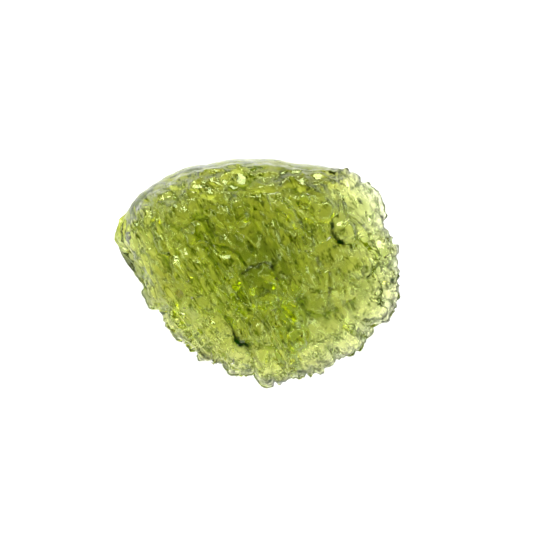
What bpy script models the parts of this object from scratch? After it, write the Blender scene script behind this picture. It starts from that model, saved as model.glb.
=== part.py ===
"""A moldavite: one natural piece of green impact glass, lying on its flatter side.

Units are metres, +Z is up, and the origin is on the surface that the stone rests on, under
the middle of its outline. +X runs along its length. Lengths in this script are in
millimetres, and become metres when the mesh is made.

The stone is a closed pillow. A sphere's points are spread out to the outline, and lifted by
one profile above the rim and by another below it. Lumps, grooves, ledges, knobs, cups and
clefts are then raised or cut along the pillow's normals. The underside bulges down in one
place, and what would reach below the resting surface there is flat, which makes the small
flat spot that the stone lies on.
"""

import math

import bpy
import numpy as np
from mathutils import noise

# Overall size
LENGTH = 28.8
WIDTH = 23.2
HEIGHT = 9.0
MM = 0.001

# How finely the sphere is divided: each of its six sides has this many squares each way. An
# even number puts a row of points on the rim.
DIVISIONS = 28

# The outline from above, clockwise from the tip at the left, about the middle of the stone
OUTLINE = [
    (-14.4, 3.3), (-14.1, 4.2), (-13.8, 5.3), (-13.1, 6.0), (-12.5, 7.0), (-11.8, 7.9),
    (-10.9, 8.6), (-9.9, 9.3), (-8.9, 9.9), (-7.6, 10.5), (-6.2, 10.9), (-4.9, 11.0),
    (-3.2, 11.4), (-0.5, 11.6), (2.3, 11.5), (4.3, 11.1), (6.8, 10.9), (9.3, 10.3),
    (10.6, 9.5), (12.2, 8.3), (13.1, 6.2), (12.9, 4.7), (14.2, 2.9), (14.4, 2.1),
    (14.3, 0.3), (14.1, -1.7), (14.2, -2.7), (13.4, -4.8), (11.7, -5.7), (11.5, -6.9),
    (10.5, -7.8), (8.0, -9.3), (7.2, -10.0), (5.9, -10.5), (3.9, -10.9), (1.7, -11.5),
    (0.9, -11.6), (0.1, -10.2), (-2.1, -10.2), (-3.9, -8.9), (-5.0, -8.8), (-6.1, -7.5),
    (-7.1, -6.6), (-8.9, -5.8), (-9.2, -5.1), (-8.9, -4.3), (-9.6, -3.8), (-10.5, -3.9),
    (-10.8, -3.2), (-11.4, -2.4), (-11.3, -1.6), (-12.4, 0.2), (-13.9, 2.6),
]
OUTLINE_SOFTENING = math.radians(14)
NOTCH_REACH = 0.72

# Height of the rim, and how the surfaces leave it: fullness is 1 where the side is a thick
# round shoulder, and 0 where the glass thins out to an edge. Each is given by compass angle.
RIM_HEIGHTS = [(20, 2.6), (60, 2.0), (120, 1.9), (165, 2.3), (210, 2.8), (270, 2.5), (330, 2.6)]
FULLNESS = [
    (0, 0.35), (18, 0.3), (36, 0.25), (60, 0.9), (112, 1.0), (135, 0.7), (160, 0.6), (180, 0.5),
    (205, 0.45), (222, 0.35), (244, 0.5), (262, 0.25), (280, 0.6), (300, 0.35), (320, 0.15), (340, 0.1),
]
RIM_WAVE_LENGTH = 4.0
RIM_WAVE_HEIGHT = 0.8

# Each surface's curve from the middle to the rim, as two powers: how far out it stays level,
# and how steeply it meets the rim. Each power is given for a thin edge, with what fullness adds.
TOP_REACH = (3.0, 1.5)
TOP_STEEPNESS = (1.12, -0.66)
UNDER_REACH = (2.8, 0.4)
UNDER_STEEPNESS = (1.05, -0.45)
RIM_SPREAD = 0.28

# The upper side: where it is thickest, and how it leans
THICK_SPOT = (-2.2, 4.6)
THICK_SPOT_RADIUS = 6.5
THICK_SPOT_RISE = 1.1
LEAN_X = -0.035
LEAN_Y = 0.03

# A broken face at the narrow end: the line where it starts, and how much height is left on it
FACE_FROM = (-13.4, 5.6)
FACE_TO = (-10.4, -2.6)
FACE_EDGE = (-0.25, 0.45)
FACE_HEIGHT_LEFT = 0.3

# The underside: its height in the middle, and the spot that the stone rests on, which bulges
# down: the spot's middle and radius, how far it bulges, and where in radii the bulge ends
UNDERSIDE_LOW = 1.1
FLAT_SPOT = (0.1, 1.1)
FLAT_SPOT_RADIUS = 2.6
FLAT_SPOT_DROP = 1.35
FLAT_SPOT_EDGE = (0.6, 1.9)
FLAT_SPOT_CALM = (0.8, 1.5)

# Broad hollows and swells of the underside, where the glass looks paler or darker from above:
# centre, half length, half width, the angle that it points in, and its depth, below zero for
# a swell
UNDER_FORMS = [
    ((-4.0, -2.3), 7.0, 3.8, -57, 1.2),
    ((3.4, -5.8), 4.8, 3.2, -65, 1.2),
    ((3.6, 5.0), 3.8, 3.0, -65, 1.0),
    ((9.6, 4.6), 3.0, 2.6, 0, 0.9),
    ((-0.9, 9.6), 2.2, 2.2, 0, 0.4),
    ((-6.5, 2.5), 2.2, 2.2, 0, 0.5),
    ((2.4, 9.9), 3.2, 2.4, 0, -0.9),
    ((5.8, 7.8), 3.4, 2.4, -35, -0.8),
    ((-3.0, 3.6), 3.0, 2.6, 0, -0.8),
    ((-3.6, 7.6), 2.4, 2.0, 0, -0.6),
    ((9.4, 1.0), 3.0, 2.6, 70, -0.8),
    ((10.4, -3.0), 3.2, 2.2, 60, -0.9),
    ((2.2, -0.7), 2.6, 2.2, 0, -0.6),
    ((-8.6, -2.2), 2.8, 1.8, -57, -0.7),
    ((-9.8, 6.6), 2.4, 2.4, 0, -0.9),
]

# Where the upper side has a smooth band along the rim: 1 for smooth, by compass angle. It
# lies between these shares of the way to the rim on each side, and mutes the relief.
SMOOTH_BAND = [(10, 0.0), (40, 1.0), (190, 1.0), (225, 0.0), (300, 0.0)]
BAND_ON_TOP = (0.84, 0.92)
BAND_UNDER = (0.92, 0.98)
BAND_MUTING = 0.9

# Hollows take at most this share of the glass's thickness
HOLLOW_SHARE = 0.25
LEAST_ROOM = 1e-6

# The glass flowed this way while it was soft, and its grooves follow it. They are shallower
# on the side towards +X, which lies between these places.
FLOW_ANGLE = math.radians(-57)
GROOVE_LENGTH = 5.6
GROOVE_WIDTH = 1.75
GROOVE_DEPTH = 0.32
CALM_SIDE = (2.0, 8.0)
CALM_SIDE_MUTING = 0.5

# Lumps everywhere, fewer near the rim, and crenels round the thin part of the rim
LUMP_SIZE = 3.1
LUMP_HEIGHT = 0.42
LUMP_SEED = 7.3
LUMP_MUTING = 0.6
RIM_ZONE = (0.7, 0.95)
CRENEL_WIDTH = 1.7
CRENEL_DEPTH = 0.26

# Ledges along the shoulder, which starts between these places along Y and is bowed
SHOULDER = (6.0, 8.5)
SHOULDER_BOW = 0.1
LEDGE_ANGLE = math.radians(4)
LEDGE_LENGTH = 6.0
LEDGE_SPACING = 1.5
LEDGE_HEIGHT = 0.28
LEDGE_SEED = 3.1
LEDGE_MUTING = 0.5
CREASE_SOFTNESS = 0.2
CREASE_STRENGTH = 1.8

# Clefts: the points that each follows, its half width and its depth
CLEFTS = [
    ([(-2.9, -4.9), (-2.3, -6.0), (-1.8, -6.8), (-1.1, -7.2), (0.5, -9.3)], 1.0, 1.1),
    ([(7.4, 4.9), (7.3, 4.2), (7.7, 3.5), (8.5, 2.9)], 0.9, 0.7),
    ([(4.2, -3.2), (5.5, -4.5), (8.3, -4.1), (11.5, -2.5)], 1.0, 0.45),
    ([(-7.9, 4.1), (-6.9, 4.4), (-5.4, 5.4)], 1.0, 0.4),
    ([(-5.4, 2.7), (-3.5, 2.4), (-1.7, 1.7)], 1.0, 0.4),
    ([(-10.7, 7.3), (-10.2, 6.5), (-9.7, 5.9)], 1.0, 0.35),
    ([(-10.4, 4.3), (-10.0, 3.3), (-8.9, 1.4)], 1.0, 0.35),
]

# Knobs and cups: centre, half length, half width, the angle that it points in, and its
# height, below zero for a cup
KNOBS = [
    ((9.1, 4.1), 1.9, 1.4, -60, 0.5),
    ((6.9, 6.1), 1.5, 1.3, 0, 0.4),
    ((0.7, 0.6), 1.5, 1.2, 0, 0.45),
    ((4.3, -6.9), 1.6, 1.2, 20, 0.5),
    ((-6.7, -3.5), 1.7, 1.1, -20, 0.45),
    ((-7.2, 3.0), 1.3, 1.3, 0, -0.35),
    ((0.6, -4.9), 1.3, 1.2, 0, -0.4),
    ((-1.3, 8.6), 1.8, 1.1, -30, -0.4),
]


def smooth_step(low, high, value):
    """0 below low, 1 above high, and a smooth rise between them."""
    t = np.clip((value - low) / (high - low), 0, 1)
    return t * t * (3 - 2 * t)


def around(keys, angles):
    """Values given at compass angles in degrees, joined smoothly right round the stone."""
    at = np.radians([k[0] for k in keys])
    values = np.array([k[1] for k in keys], float)
    at = np.concatenate([at[-1:] - 2 * math.pi, at, at[:1] + 2 * math.pi])
    values = np.concatenate([values[-1:], values, values[:1]])
    turned = np.mod(angles, 2 * math.pi)
    i = np.clip(np.searchsorted(at, turned, side="right") - 1, 0, len(at) - 2)
    t = (turned - at[i]) / (at[i + 1] - at[i])
    t = t * t * (3 - 2 * t)
    return values[i] * (1 - t) + values[i + 1] * t


def outline_radii():
    """Distance from the middle to the outline, and to a softened outline, as functions."""
    points = np.array(OUTLINE)
    angles = np.mod(np.arctan2(points[:, 1], points[:, 0]), 2 * math.pi)
    radii = np.hypot(points[:, 0], points[:, 1])
    order = np.argsort(angles)
    angles, radii = angles[order], radii[order]
    fine = np.linspace(0, 2 * math.pi, 1440, endpoint=False)
    sharp = np.interp(fine, angles, radii, period=2 * math.pi)
    offsets = np.arange(len(fine)) * (fine[1] - fine[0])
    away = np.minimum(offsets, 2 * math.pi - offsets)

    def softened(width):
        weights = np.exp(-((away / width) ** 2))
        spectrum = np.fft.rfft(sharp) * np.fft.rfft(weights / weights.sum())
        return np.fft.irfft(spectrum, len(fine))

    edge, inner = softened(math.radians(1.2)), softened(OUTLINE_SOFTENING)

    def radius_of(table):
        return lambda angle: np.interp(angle, fine, table, period=2 * math.pi)

    return radius_of(edge), radius_of(inner)


def divided_sphere(divisions):
    """Points and squares of a sphere made from a divided cube, its equator on a row of points."""
    steps = np.tan(np.linspace(-math.pi / 4, math.pi / 4, divisions + 1))
    found, points, squares = {}, [], []

    def corner(x, y, z):
        key = (round(x, 9), round(y, 9), round(z, 9))
        if key not in found:
            found[key] = len(points)
            points.append(key)
        return found[key]

    for axis in range(3):
        for side in (-1.0, 1.0):
            def place(i, j):
                spot = [0.0, 0.0, 0.0]
                spot[axis] = side
                spot[(axis + 1) % 3] = steps[i]
                spot[(axis + 2) % 3] = steps[j]
                return corner(*spot)

            for i in range(divisions):
                for j in range(divisions):
                    square = [place(i, j), place(i + 1, j), place(i + 1, j + 1), place(i, j + 1)]
                    squares.append(square if side > 0 else square[::-1])
    points = np.array(points)
    return points / np.linalg.norm(points, axis=1, keepdims=True), np.array(squares)


def oval(x, y, centre, half_length, half_width, angle, rise):
    """The height of one smooth oval mound, or of a hollow where rise is below zero."""
    turn = math.radians(angle)
    along = (x - centre[0]) * math.cos(turn) + (y - centre[1]) * math.sin(turn)
    across = (y - centre[1]) * math.cos(turn) - (x - centre[0]) * math.sin(turn)
    away = (along / half_length) ** 2 + (across / half_width) ** 2
    return rise * np.clip(1 - away, 0, 1) ** 1.5


def curve(share, full, reach, steepness):
    """A surface's height on its way to the rim: 1 in the middle and 0 at the rim."""
    level = np.clip(1 - share ** (reach[0] + reach[1] * full), 0, 1)
    return level ** (steepness[0] + steepness[1] * full)


def beyond_face(x, y):
    """Distance from the line where the broken face starts, above zero towards the middle."""
    dx, dy = FACE_TO[0] - FACE_FROM[0], FACE_TO[1] - FACE_FROM[1]
    return ((y - FACE_FROM[1]) * dx - (x - FACE_FROM[0]) * dy) / math.hypot(dx, dy)


def pillow(sphere):
    """The stone's smooth body.

    It gives each point's place, share of the way to the rim, compass angle, the glass's
    thickness there, and distance from the flat spot's middle in radii of the spot.
    """
    edge, inner = outline_radii()
    angle = np.arctan2(sphere[:, 1], sphere[:, 0])
    level = np.hypot(sphere[:, 0], sphere[:, 1])
    share = level * (1 - RIM_SPREAD + RIM_SPREAD * level**2)
    reach = smooth_step(NOTCH_REACH, 1.0, share)
    radius = inner(angle) * (1 - reach) + edge(angle) * reach
    x, y = share * radius * np.cos(angle), share * radius * np.sin(angle)
    full = around(FULLNESS, angle)
    ring = np.column_stack([np.cos(angle), np.sin(angle), angle * 0]) * LENGTH / 2
    rim = around(RIM_HEIGHTS, angle) + RIM_WAVE_HEIGHT * noise_at(ring / RIM_WAVE_LENGTH)
    rise = THICK_SPOT_RISE * np.exp(
        -((x - THICK_SPOT[0]) ** 2 + (y - THICK_SPOT[1]) ** 2) / THICK_SPOT_RADIUS**2
    )
    crown = HEIGHT - THICK_SPOT_RISE + rise + LEAN_X * x + LEAN_Y * y
    broken = 1 - smooth_step(*FACE_EDGE, beyond_face(x, y))
    above = curve(share, full, TOP_REACH, TOP_STEEPNESS) * (1 - (1 - FACE_HEIGHT_LEFT) * broken)
    upper = rim + (crown - rim) * above
    lower = rim - (rim - UNDERSIDE_LOW) * curve(share, full, UNDER_REACH, UNDER_STEEPNESS)
    for form in UNDER_FORMS:
        lower += oval(x, y, *form)
    spot = np.hypot(x - FLAT_SPOT[0], y - FLAT_SPOT[1]) / FLAT_SPOT_RADIUS
    lower -= FLAT_SPOT_DROP * (1 - smooth_step(*FLAT_SPOT_EDGE, spot))
    z = np.where(sphere[:, 2] >= 0, upper, lower)
    return np.column_stack([x, y, z]), share, angle, upper - lower, spot


def normals_of(points, squares):
    """Each point's outward direction, from the squares around it."""
    across = points[squares[:, 2]] - points[squares[:, 0]]
    along = points[squares[:, 3]] - points[squares[:, 1]]
    faces = np.cross(across, along)
    normals = np.zeros_like(points)
    for k in range(4):
        np.add.at(normals, squares[:, k], faces)
    return normals / np.maximum(np.linalg.norm(normals, axis=1, keepdims=True), 1e-12)


def noise_at(places):
    return np.array([noise.noise(p) for p in places.tolist()])


def ridged(places):
    """Rounded troughs between narrow ridges, from about -1 to 1."""
    height = np.sqrt((noise_at(places) * CREASE_STRENGTH) ** 2 + CREASE_SOFTNESS**2) - CREASE_SOFTNESS
    return 1 - 2 * np.minimum(height, 1)


def stretched(points, angle, length, width, offset=0.0):
    """Places for a noise whose shapes are long in one direction over the ground."""
    along = points[:, 0] * math.cos(angle) + points[:, 1] * math.sin(angle)
    across = -points[:, 0] * math.sin(angle) + points[:, 1] * math.cos(angle)
    return np.column_stack([along / length, across / width, points[:, 2] / length + offset])


def distance_to_path(x, y, path):
    """Distance from each place to a line through the path's points."""
    nearest = np.full(len(x), np.inf)
    for (ax, ay), (bx, by) in zip(path, path[1:]):
        dx, dy = bx - ax, by - ay
        t = np.clip(((x - ax) * dx + (y - ay) * dy) / (dx * dx + dy * dy), 0, 1)
        nearest = np.minimum(nearest, np.hypot(x - ax - t * dx, y - ay - t * dy))
    return nearest


def named_forms(x, y):
    """The clefts, knobs and cups of the upper side."""
    height = np.zeros(len(x))
    for path, half_width, depth in CLEFTS:
        away = distance_to_path(x, y, path) / half_width
        height -= depth * np.clip(1 - away**2, 0, 1) ** 2
    for knob in KNOBS:
        height += oval(x, y, *knob)
    return height


def relief(points, share, angle, spot, top):
    """How far each point is raised along its normal."""
    x, y = points[:, 0], points[:, 1]
    near_rim = smooth_step(*RIM_ZONE, share)
    calm = 1 - CALM_SIDE_MUTING * smooth_step(*CALM_SIDE, x)
    smooth = around(SMOOTH_BAND, angle)
    shoulder = smooth_step(*SHOULDER, y - SHOULDER_BOW * np.abs(x))
    grooves = ridged(stretched(points, FLOW_ANGLE, GROOVE_LENGTH, GROOVE_WIDTH))
    lumps = np.abs(noise_at(points / LUMP_SIZE + LUMP_SEED)) * 2 - 0.5
    ledges = ridged(stretched(points, LEDGE_ANGLE, LEDGE_LENGTH, LEDGE_SPACING, LEDGE_SEED))
    ring = np.column_stack([np.cos(angle), np.sin(angle)]) * LENGTH / 2 / CRENEL_WIDTH
    crenels = ridged(np.column_stack([ring, share * 2 + points[:, 2] / 4]))
    height = GROOVE_DEPTH * grooves * calm * (1 - shoulder)
    height += LUMP_HEIGHT * lumps * (1 - LUMP_MUTING * near_rim)
    height += LEDGE_HEIGHT * ledges * shoulder * (1 - LEDGE_MUTING * near_rim)
    height += CRENEL_DEPTH * crenels * near_rim * (1 - smooth)
    height[top] += named_forms(x[top], y[top]) * (1 - near_rim[top])
    band = np.where(top, smooth_step(*BAND_ON_TOP, share), smooth_step(*BAND_UNDER, share))
    height *= 1 - BAND_MUTING * smooth * band
    height[~top] *= smooth_step(*FLAT_SPOT_CALM, spot[~top])
    return height


def kept_inside(height, thickness):
    """The relief with its hollows held to a share of the thickness, so no faces cross."""
    room = np.maximum(HOLLOW_SHARE * thickness, LEAST_ROOM)
    return np.where(height < 0, -room * np.tanh(-height / room), height)


def fitted(points):
    """The points moved and sized so that the stone has its overall size on the surface."""
    points = points.copy()
    points[:, 2] = np.maximum(points[:, 2], 0)
    low, high = points.min(axis=0), points.max(axis=0)
    middle = np.array([(low[0] + high[0]) / 2, (low[1] + high[1]) / 2, low[2]])
    return (points - middle) * (np.array([LENGTH, WIDTH, HEIGHT]) / (high - low))


def stone_points(divisions):
    sphere, squares = divided_sphere(divisions)
    points, share, angle, thickness, spot = pillow(sphere)
    top = sphere[:, 2] >= 0
    height = kept_inside(relief(points, share, angle, spot, top), thickness)
    return fitted(points + normals_of(points, squares) * height[:, None]), squares


def flattest_triangles(points, squares):
    """Two triangles for each square, split along the diagonal that folds it less."""
    a, b, c, d = squares.T

    def pair(first, second):
        normals = []
        for i, j, k in (first, second):
            normal = np.cross(points[j] - points[i], points[k] - points[i])
            normals.append(normal / np.maximum(np.linalg.norm(normal, axis=1, keepdims=True), 1e-12))
        return (normals[0] * normals[1]).sum(axis=1), np.array([first, second])

    level_ac, ac = pair((a, b, c), (a, c, d))
    level_bd, bd = pair((b, c, d), (b, d, a))
    chosen = np.where(level_ac >= level_bd, ac, bd)
    return np.concatenate([chosen[0].T, chosen[1].T])


def glass():
    """Clear green glass."""
    material = bpy.data.materials.new("green_glass")
    material.use_nodes = True
    shader = material.node_tree.nodes["Principled BSDF"]
    shader.inputs["Base Color"].default_value = (0.36, 0.47, 0.10, 1)
    shader.inputs["Roughness"].default_value = 0.08
    shader.inputs["Metallic"].default_value = 0.0
    shader.inputs["Transmission Weight"].default_value = 1.0
    shader.inputs["IOR"].default_value = 1.49
    return material


def build():
    for obj in list(bpy.data.objects):
        bpy.data.objects.remove(obj)
    points, squares = stone_points(DIVISIONS)
    mesh = bpy.data.meshes.new("moldavite")
    triangles = flattest_triangles(points, squares)
    mesh.from_pydata((points * MM).tolist(), [], triangles.tolist())
    mesh.shade_smooth()
    stone = bpy.data.objects.new("moldavite", mesh)
    stone.data.materials.append(glass())
    bpy.context.scene.collection.objects.link(stone)


build()
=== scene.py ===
"""The looks of the moldavite: its clear green glass, finely pitted and grooved, on a pale floor.

Lengths are in millimetres, apart from the few that are marked as metres (m), and angles are in
degrees unless they are turned into radians. The stone's body and main forms come from the same
values as its CAD solid, and the finer forms are added to them here.
"""

import math

import bpy
import numpy as np
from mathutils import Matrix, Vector, noise


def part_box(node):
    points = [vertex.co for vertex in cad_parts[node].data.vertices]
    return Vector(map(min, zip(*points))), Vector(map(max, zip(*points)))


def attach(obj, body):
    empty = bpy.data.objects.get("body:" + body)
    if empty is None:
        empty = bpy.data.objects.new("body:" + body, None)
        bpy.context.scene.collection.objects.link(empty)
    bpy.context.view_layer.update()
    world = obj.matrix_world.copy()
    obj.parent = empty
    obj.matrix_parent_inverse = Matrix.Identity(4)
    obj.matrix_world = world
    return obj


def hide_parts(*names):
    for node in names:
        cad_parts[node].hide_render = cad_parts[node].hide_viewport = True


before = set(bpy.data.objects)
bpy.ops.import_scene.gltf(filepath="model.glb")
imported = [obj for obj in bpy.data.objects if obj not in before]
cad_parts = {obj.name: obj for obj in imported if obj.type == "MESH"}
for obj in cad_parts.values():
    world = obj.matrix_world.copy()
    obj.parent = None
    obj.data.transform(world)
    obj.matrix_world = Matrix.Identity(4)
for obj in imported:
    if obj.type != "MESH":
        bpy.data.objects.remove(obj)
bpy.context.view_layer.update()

MM = 0.001
BOX_LOW, BOX_HIGH = (np.array(corner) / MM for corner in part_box("moldavite"))
LENGTH, HEIGHT = (BOX_HIGH - BOX_LOW)[[0, 2]]

# How finely the sphere is divided: each of its six sides has this many squares each way. An
# even number puts a row of points on the rim.
DIVISIONS = 128

# The outline from above, clockwise from the tip at the left, about the middle of the stone
OUTLINE = [
    (-14.4, 3.3), (-14.1, 4.2), (-13.8, 5.3), (-13.1, 6.0), (-12.5, 7.0), (-11.8, 7.9),
    (-10.9, 8.6), (-9.9, 9.3), (-8.9, 9.9), (-7.6, 10.5), (-6.2, 10.9), (-4.9, 11.0),
    (-3.2, 11.4), (-0.5, 11.6), (2.3, 11.5), (4.3, 11.1), (6.8, 10.9), (9.3, 10.3),
    (10.6, 9.5), (12.2, 8.3), (13.1, 6.2), (12.9, 4.7), (14.2, 2.9), (14.4, 2.1),
    (14.3, 0.3), (14.1, -1.7), (14.2, -2.7), (13.4, -4.8), (11.7, -5.7), (11.5, -6.9),
    (10.5, -7.8), (8.0, -9.3), (7.2, -10.0), (5.9, -10.5), (3.9, -10.9), (1.7, -11.5),
    (0.9, -11.6), (0.1, -10.2), (-2.1, -10.2), (-3.9, -8.9), (-5.0, -8.8), (-6.1, -7.5),
    (-7.1, -6.6), (-8.9, -5.8), (-9.2, -5.1), (-8.9, -4.3), (-9.6, -3.8), (-10.5, -3.9),
    (-10.8, -3.2), (-11.4, -2.4), (-11.3, -1.6), (-12.4, 0.2), (-13.9, 2.6),
]

# The outline is read at this many angles. It is softened a little at the rim and much more
# inside, and turns from one into the other from this share of the way to the rim
OUTLINE_STEPS = 1440
EDGE_SOFTENING = math.radians(0.6)
OUTLINE_SOFTENING = math.radians(14)
NOTCH_REACH = 0.72

# Height of the rim, and how the surfaces leave it: fullness is 1 where the side is a thick
# round shoulder, and 0 where the glass thins out to an edge. Each is given by compass angle.
RIM_HEIGHTS = [(20, 2.6), (60, 2.0), (120, 1.9), (165, 2.3), (210, 2.8), (270, 2.5), (330, 2.6)]
FULLNESS = [
    (0, 0.35), (18, 0.3), (36, 0.25), (60, 0.9), (112, 1.0), (135, 0.7), (160, 0.6), (180, 0.5),
    (205, 0.45), (222, 0.35), (244, 0.5), (262, 0.25), (280, 0.6), (300, 0.35), (320, 0.15), (340, 0.1),
]
RIM_WAVE_LENGTH = 4.0
RIM_WAVE_HEIGHT = 0.8

# Each surface's curve from the middle to the rim, as two powers: how far out it stays level,
# and how steeply it meets the rim. Each power is given for a thin edge, with what fullness adds.
# The last value spreads out the rows of points near the rim, which would be crowded there.
TOP_REACH = (3.0, 1.5)
TOP_STEEPNESS = (1.12, -0.66)
UNDER_REACH = (2.8, 0.4)
UNDER_STEEPNESS = (1.05, -0.45)
RIM_SPREAD = 0.28

# The upper side: where it is thickest, and how it leans
THICK_SPOT = (-2.2, 4.6)
THICK_SPOT_RADIUS = 6.5
THICK_SPOT_RISE = 1.1
LEAN_X = -0.035
LEAN_Y = 0.03

# A broken face at the narrow end: the line where it starts, and how much height is left on it
FACE_FROM = (-13.4, 5.6)
FACE_TO = (-10.4, -2.6)
FACE_EDGE = (-0.25, 0.45)
FACE_HEIGHT_LEFT = 0.3

# The underside: its height in the middle, and the spot that the stone rests on, which bulges
# down: the spot's middle and radius, how far it bulges, and between which distances, in radii,
# the bulge ends and the relief begins
UNDERSIDE_LOW = 1.1
FLAT_SPOT = (0.1, 1.1)
FLAT_SPOT_RADIUS = 2.6
FLAT_SPOT_DROP = 1.35
FLAT_SPOT_EDGE = (0.6, 1.9)
FLAT_SPOT_CALM = (0.8, 1.5)

# Broad hollows and swells of the underside, where the glass looks paler or darker from above:
# centre, half length, half width, the angle that it points in, and its depth, below zero for
# a swell
UNDER_FORMS = [
    ((-4.0, -2.3), 7.0, 3.8, -57, 1.2),
    ((3.4, -5.8), 4.8, 3.2, -65, 1.2),
    ((3.6, 5.0), 3.8, 3.0, -65, 1.0),
    ((9.6, 4.6), 3.0, 2.6, 0, 0.9),
    ((-0.9, 9.6), 2.2, 2.2, 0, 0.4),
    ((-6.5, 2.5), 2.2, 2.2, 0, 0.5),
    ((2.4, 9.9), 3.2, 2.4, 0, -0.9),
    ((5.8, 7.8), 3.4, 2.4, -35, -0.8),
    ((-3.0, 3.6), 3.0, 2.6, 0, -0.8),
    ((-3.6, 7.6), 2.4, 2.0, 0, -0.6),
    ((9.4, 1.0), 3.0, 2.6, 70, -0.8),
    ((10.4, -3.0), 3.2, 2.2, 60, -0.9),
    ((2.2, -0.7), 2.6, 2.2, 0, -0.6),
    ((-8.6, -2.2), 2.8, 1.8, -57, -0.7),
    ((-9.8, 6.6), 2.4, 2.4, 0, -0.9),
]

# Where the upper side has a smooth band along the rim: 1 for smooth, by compass angle. It
# lies between these shares of the way to the rim on each side, and mutes the relief.
SMOOTH_BAND = [(10, 0.0), (40, 1.0), (190, 1.0), (225, 0.0), (300, 0.0)]
BAND_ON_TOP = (0.84, 0.92)
BAND_UNDER = (0.92, 0.98)
BAND_MUTING = 0.9

# Hollows take at most this share of the glass's thickness. The other two values keep a division
# from being by zero
HOLLOW_SHARE = 0.25
LEAST_ROOM = 1e-6
LEAST_LENGTH = 1e-12

# The glass flowed this way while it was soft, and its grooves follow it. They are shallower
# on the side towards +X, which lies between these places.
FLOW_ANGLE = math.radians(-57)
GROOVE_LENGTH = 5.6
GROOVE_WIDTH = 1.75
GROOVE_DEPTH = 0.32
CALM_SIDE = (2.0, 8.0)
CALM_SIDE_MUTING = 0.5

# Lumps everywhere, lower near the rim. The gain and level turn the noise into their heights
LUMP_SIZE = 3.1
LUMP_HEIGHT = 0.42
LUMP_GAIN, LUMP_LEVEL = 2, 0.5
LUMP_SEED = 7.3
LUMP_MUTING = 0.6

# Crenels round the thin part of the rim, with the shares of the way to the rim between which
# they start. They change this often from the middle to the rim, and over this height
RIM_ZONE = (0.7, 0.95)
CRENEL_WIDTH = 1.7
CRENEL_DEPTH = 0.26
CRENEL_CHANGES, CRENEL_HEIGHT = 2, 4

# Ledges along the shoulder, which starts between these places along Y and is bowed
SHOULDER = (6.0, 8.5)
SHOULDER_BOW = 0.1
LEDGE_ANGLE = math.radians(4)
LEDGE_LENGTH = 6.0
LEDGE_SPACING = 1.5
LEDGE_HEIGHT = 0.28
LEDGE_SEED = 3.1
LEDGE_MUTING = 0.5

# How soft the creases of all ridged forms are, and how strongly they stand out of the noise
CREASE_SOFTNESS = 0.2
CREASE_STRENGTH = 1.8

# Clefts: the points that each follows, its half width and its depth
CLEFTS = [
    ([(-2.9, -4.9), (-2.3, -6.0), (-1.8, -6.8), (-1.1, -7.2), (0.5, -9.3)], 1.0, 1.1),
    ([(7.4, 4.9), (7.3, 4.2), (7.7, 3.5), (8.5, 2.9)], 0.9, 0.7),
    ([(4.2, -3.2), (5.5, -4.5), (8.3, -4.1), (11.5, -2.5)], 1.0, 0.45),
    ([(-7.9, 4.1), (-6.9, 4.4), (-5.4, 5.4)], 1.0, 0.4),
    ([(-5.4, 2.7), (-3.5, 2.4), (-1.7, 1.7)], 1.0, 0.4),
    ([(-10.7, 7.3), (-10.2, 6.5), (-9.7, 5.9)], 1.0, 0.35),
    ([(-10.4, 4.3), (-10.0, 3.3), (-8.9, 1.4)], 1.0, 0.35),
]

# Knobs and cups: centre, half length, half width, the angle that it points in, and its
# height, below zero for a cup
KNOBS = [
    ((9.1, 4.1), 1.9, 1.4, -60, 0.5),
    ((6.9, 6.1), 1.5, 1.3, 0, 0.4),
    ((0.7, 0.6), 1.5, 1.2, 0, 0.45),
    ((4.3, -6.9), 1.6, 1.2, 20, 0.5),
    ((-6.7, -3.5), 1.7, 1.1, -20, 0.45),
    ((-7.2, 3.0), 1.3, 1.3, 0, -0.35),
    ((0.6, -4.9), 1.3, 1.2, 0, -0.4),
    ((-1.3, 8.6), 1.8, 1.1, -30, -0.4),
]

# Narrow cracks and dark lines: the points that each follows, its half width and its depth
CRACKS = [
    ([(-2.9, -4.9), (-2.3, -6.0), (-1.9, -6.7), (-1.1, -7.2), (-0.5, -7.8)], 0.35, 0.7),
    ([(7.4, 4.9), (7.3, 4.2), (7.6, 3.6), (8.0, 3.2), (8.5, 2.9)], 0.25, 0.6),
    ([(-1.4, 0.1), (-0.6, 0.7), (0.1, 0.6), (0.2, 0.9), (0.7, 1.1), (1.3, 0.9), (1.6, 0.4)], 0.28, 0.4),
    ([(7.1, 0.1), (7.1, -2.3)], 0.2, 0.3),
    ([(4.2, -3.2), (5.5, -4.5), (6.8, -4.5), (8.3, -4.1)], 0.3, 0.35),
    ([(6.3, 6.3), (6.0, 5.6), (6.4, 4.7)], 0.25, 0.35),
    ([(-7.3, 4.2), (-6.0, 5.0), (-4.5, 5.4)], 0.35, 0.4),
    ([(-3.9, 2.6), (-2.5, 2.3), (-1.7, 1.6), (-1.1, 0.8)], 0.35, 0.4),
    ([(-10.8, 7.2), (-10.3, 6.2), (-10.1, 3.6), (-9.5, 2.1), (-8.4, 0.2)], 0.35, 0.4),
    ([(-8.1, 7.9), (-7.5, 7.0), (-6.6, 6.3), (-5.6, 5.2)], 0.35, 0.4),
    ([(-5.4, 2.7), (-4.6, 1.6), (-3.5, 0.5), (-2.9, -0.3)], 0.35, 0.4),
    ([(-11.3, 1.2), (-10.6, -0.6)], 0.3, 0.3),
    ([(-7.9, 2.2), (-7.0, 0.7), (-5.6, -1.2), (-4.4, -3.0)], 0.35, 0.35),
    ([(-6.4, -3.9), (-5.0, -4.9), (-3.9, -6.2)], 0.3, 0.35),
    ([(3.6, 2.6), (4.2, 1.0), (5.2, -0.6)], 0.3, 0.3),
    ([(0.6, -2.6), (1.9, -2.3), (3.1, -2.6)], 0.3, 0.3),
    ([(-0.6, -7.0), (1.2, -7.8), (2.6, -8.0), (4.4, -8.1)], 0.3, 0.35),
]

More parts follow.
